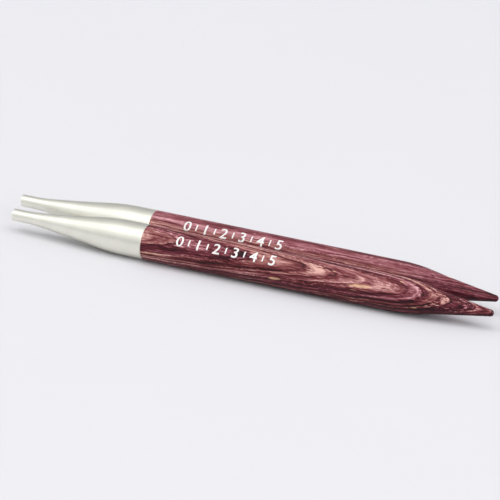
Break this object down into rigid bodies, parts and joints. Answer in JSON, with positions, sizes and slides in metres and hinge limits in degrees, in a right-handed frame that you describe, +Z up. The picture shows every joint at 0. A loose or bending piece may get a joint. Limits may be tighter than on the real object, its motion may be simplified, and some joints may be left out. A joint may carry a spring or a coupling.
{
  "type": "pair of knitting needle tips",
  "caption": "Pair of pointed knitting needle tips of laminated dyed wood, each with a hollow tapered metal ferrule that takes a screw-in connecting cable.",
  "frame": {"origin": "on the surface that the needles lie on, under the middle of the pair's bounding box", "axes": "+X along the front needle towards its point, +Y from the front needle to the back one, +Z up"},
  "size_m": [0.1322, 0.0184, 0.009],
  "materials": {
    "plum_veneer": "satin lacquer",
    "rose_veneer": "satin lacquer",
    "ferrule": "satin nickel plating"
  },
  "bodies": {
    "front_needle": {"front_ferrule": "ferrule", "front_ply_01": "plum_veneer", "front_ply_02": "rose_veneer", "front_ply_03": "plum_veneer", "front_ply_04": "rose_veneer", "front_ply_05": "plum_veneer", "front_ply_06": "rose_veneer", "front_ply_07": "plum_veneer", "front_ply_08": "rose_veneer", "front_ply_09": "rose_veneer", "front_ply_10": "plum_veneer", "front_ply_11": "rose_veneer"},
    "back_needle": {"back_ferrule": "ferrule", "back_ply_01": "rose_veneer", "back_ply_02": "plum_veneer", "back_ply_03": "rose_veneer", "back_ply_04": "rose_veneer", "back_ply_05": "rose_veneer", "back_ply_06": "plum_veneer", "back_ply_07": "plum_veneer"}
  },
  "joints": [
    {"name": "back_needle_draw", "type": "slide", "parent": "front_needle", "child": "back_needle", "axis": [1, -0.004, 0], "range_m": [-0.13, 0.13]}
  ]
}
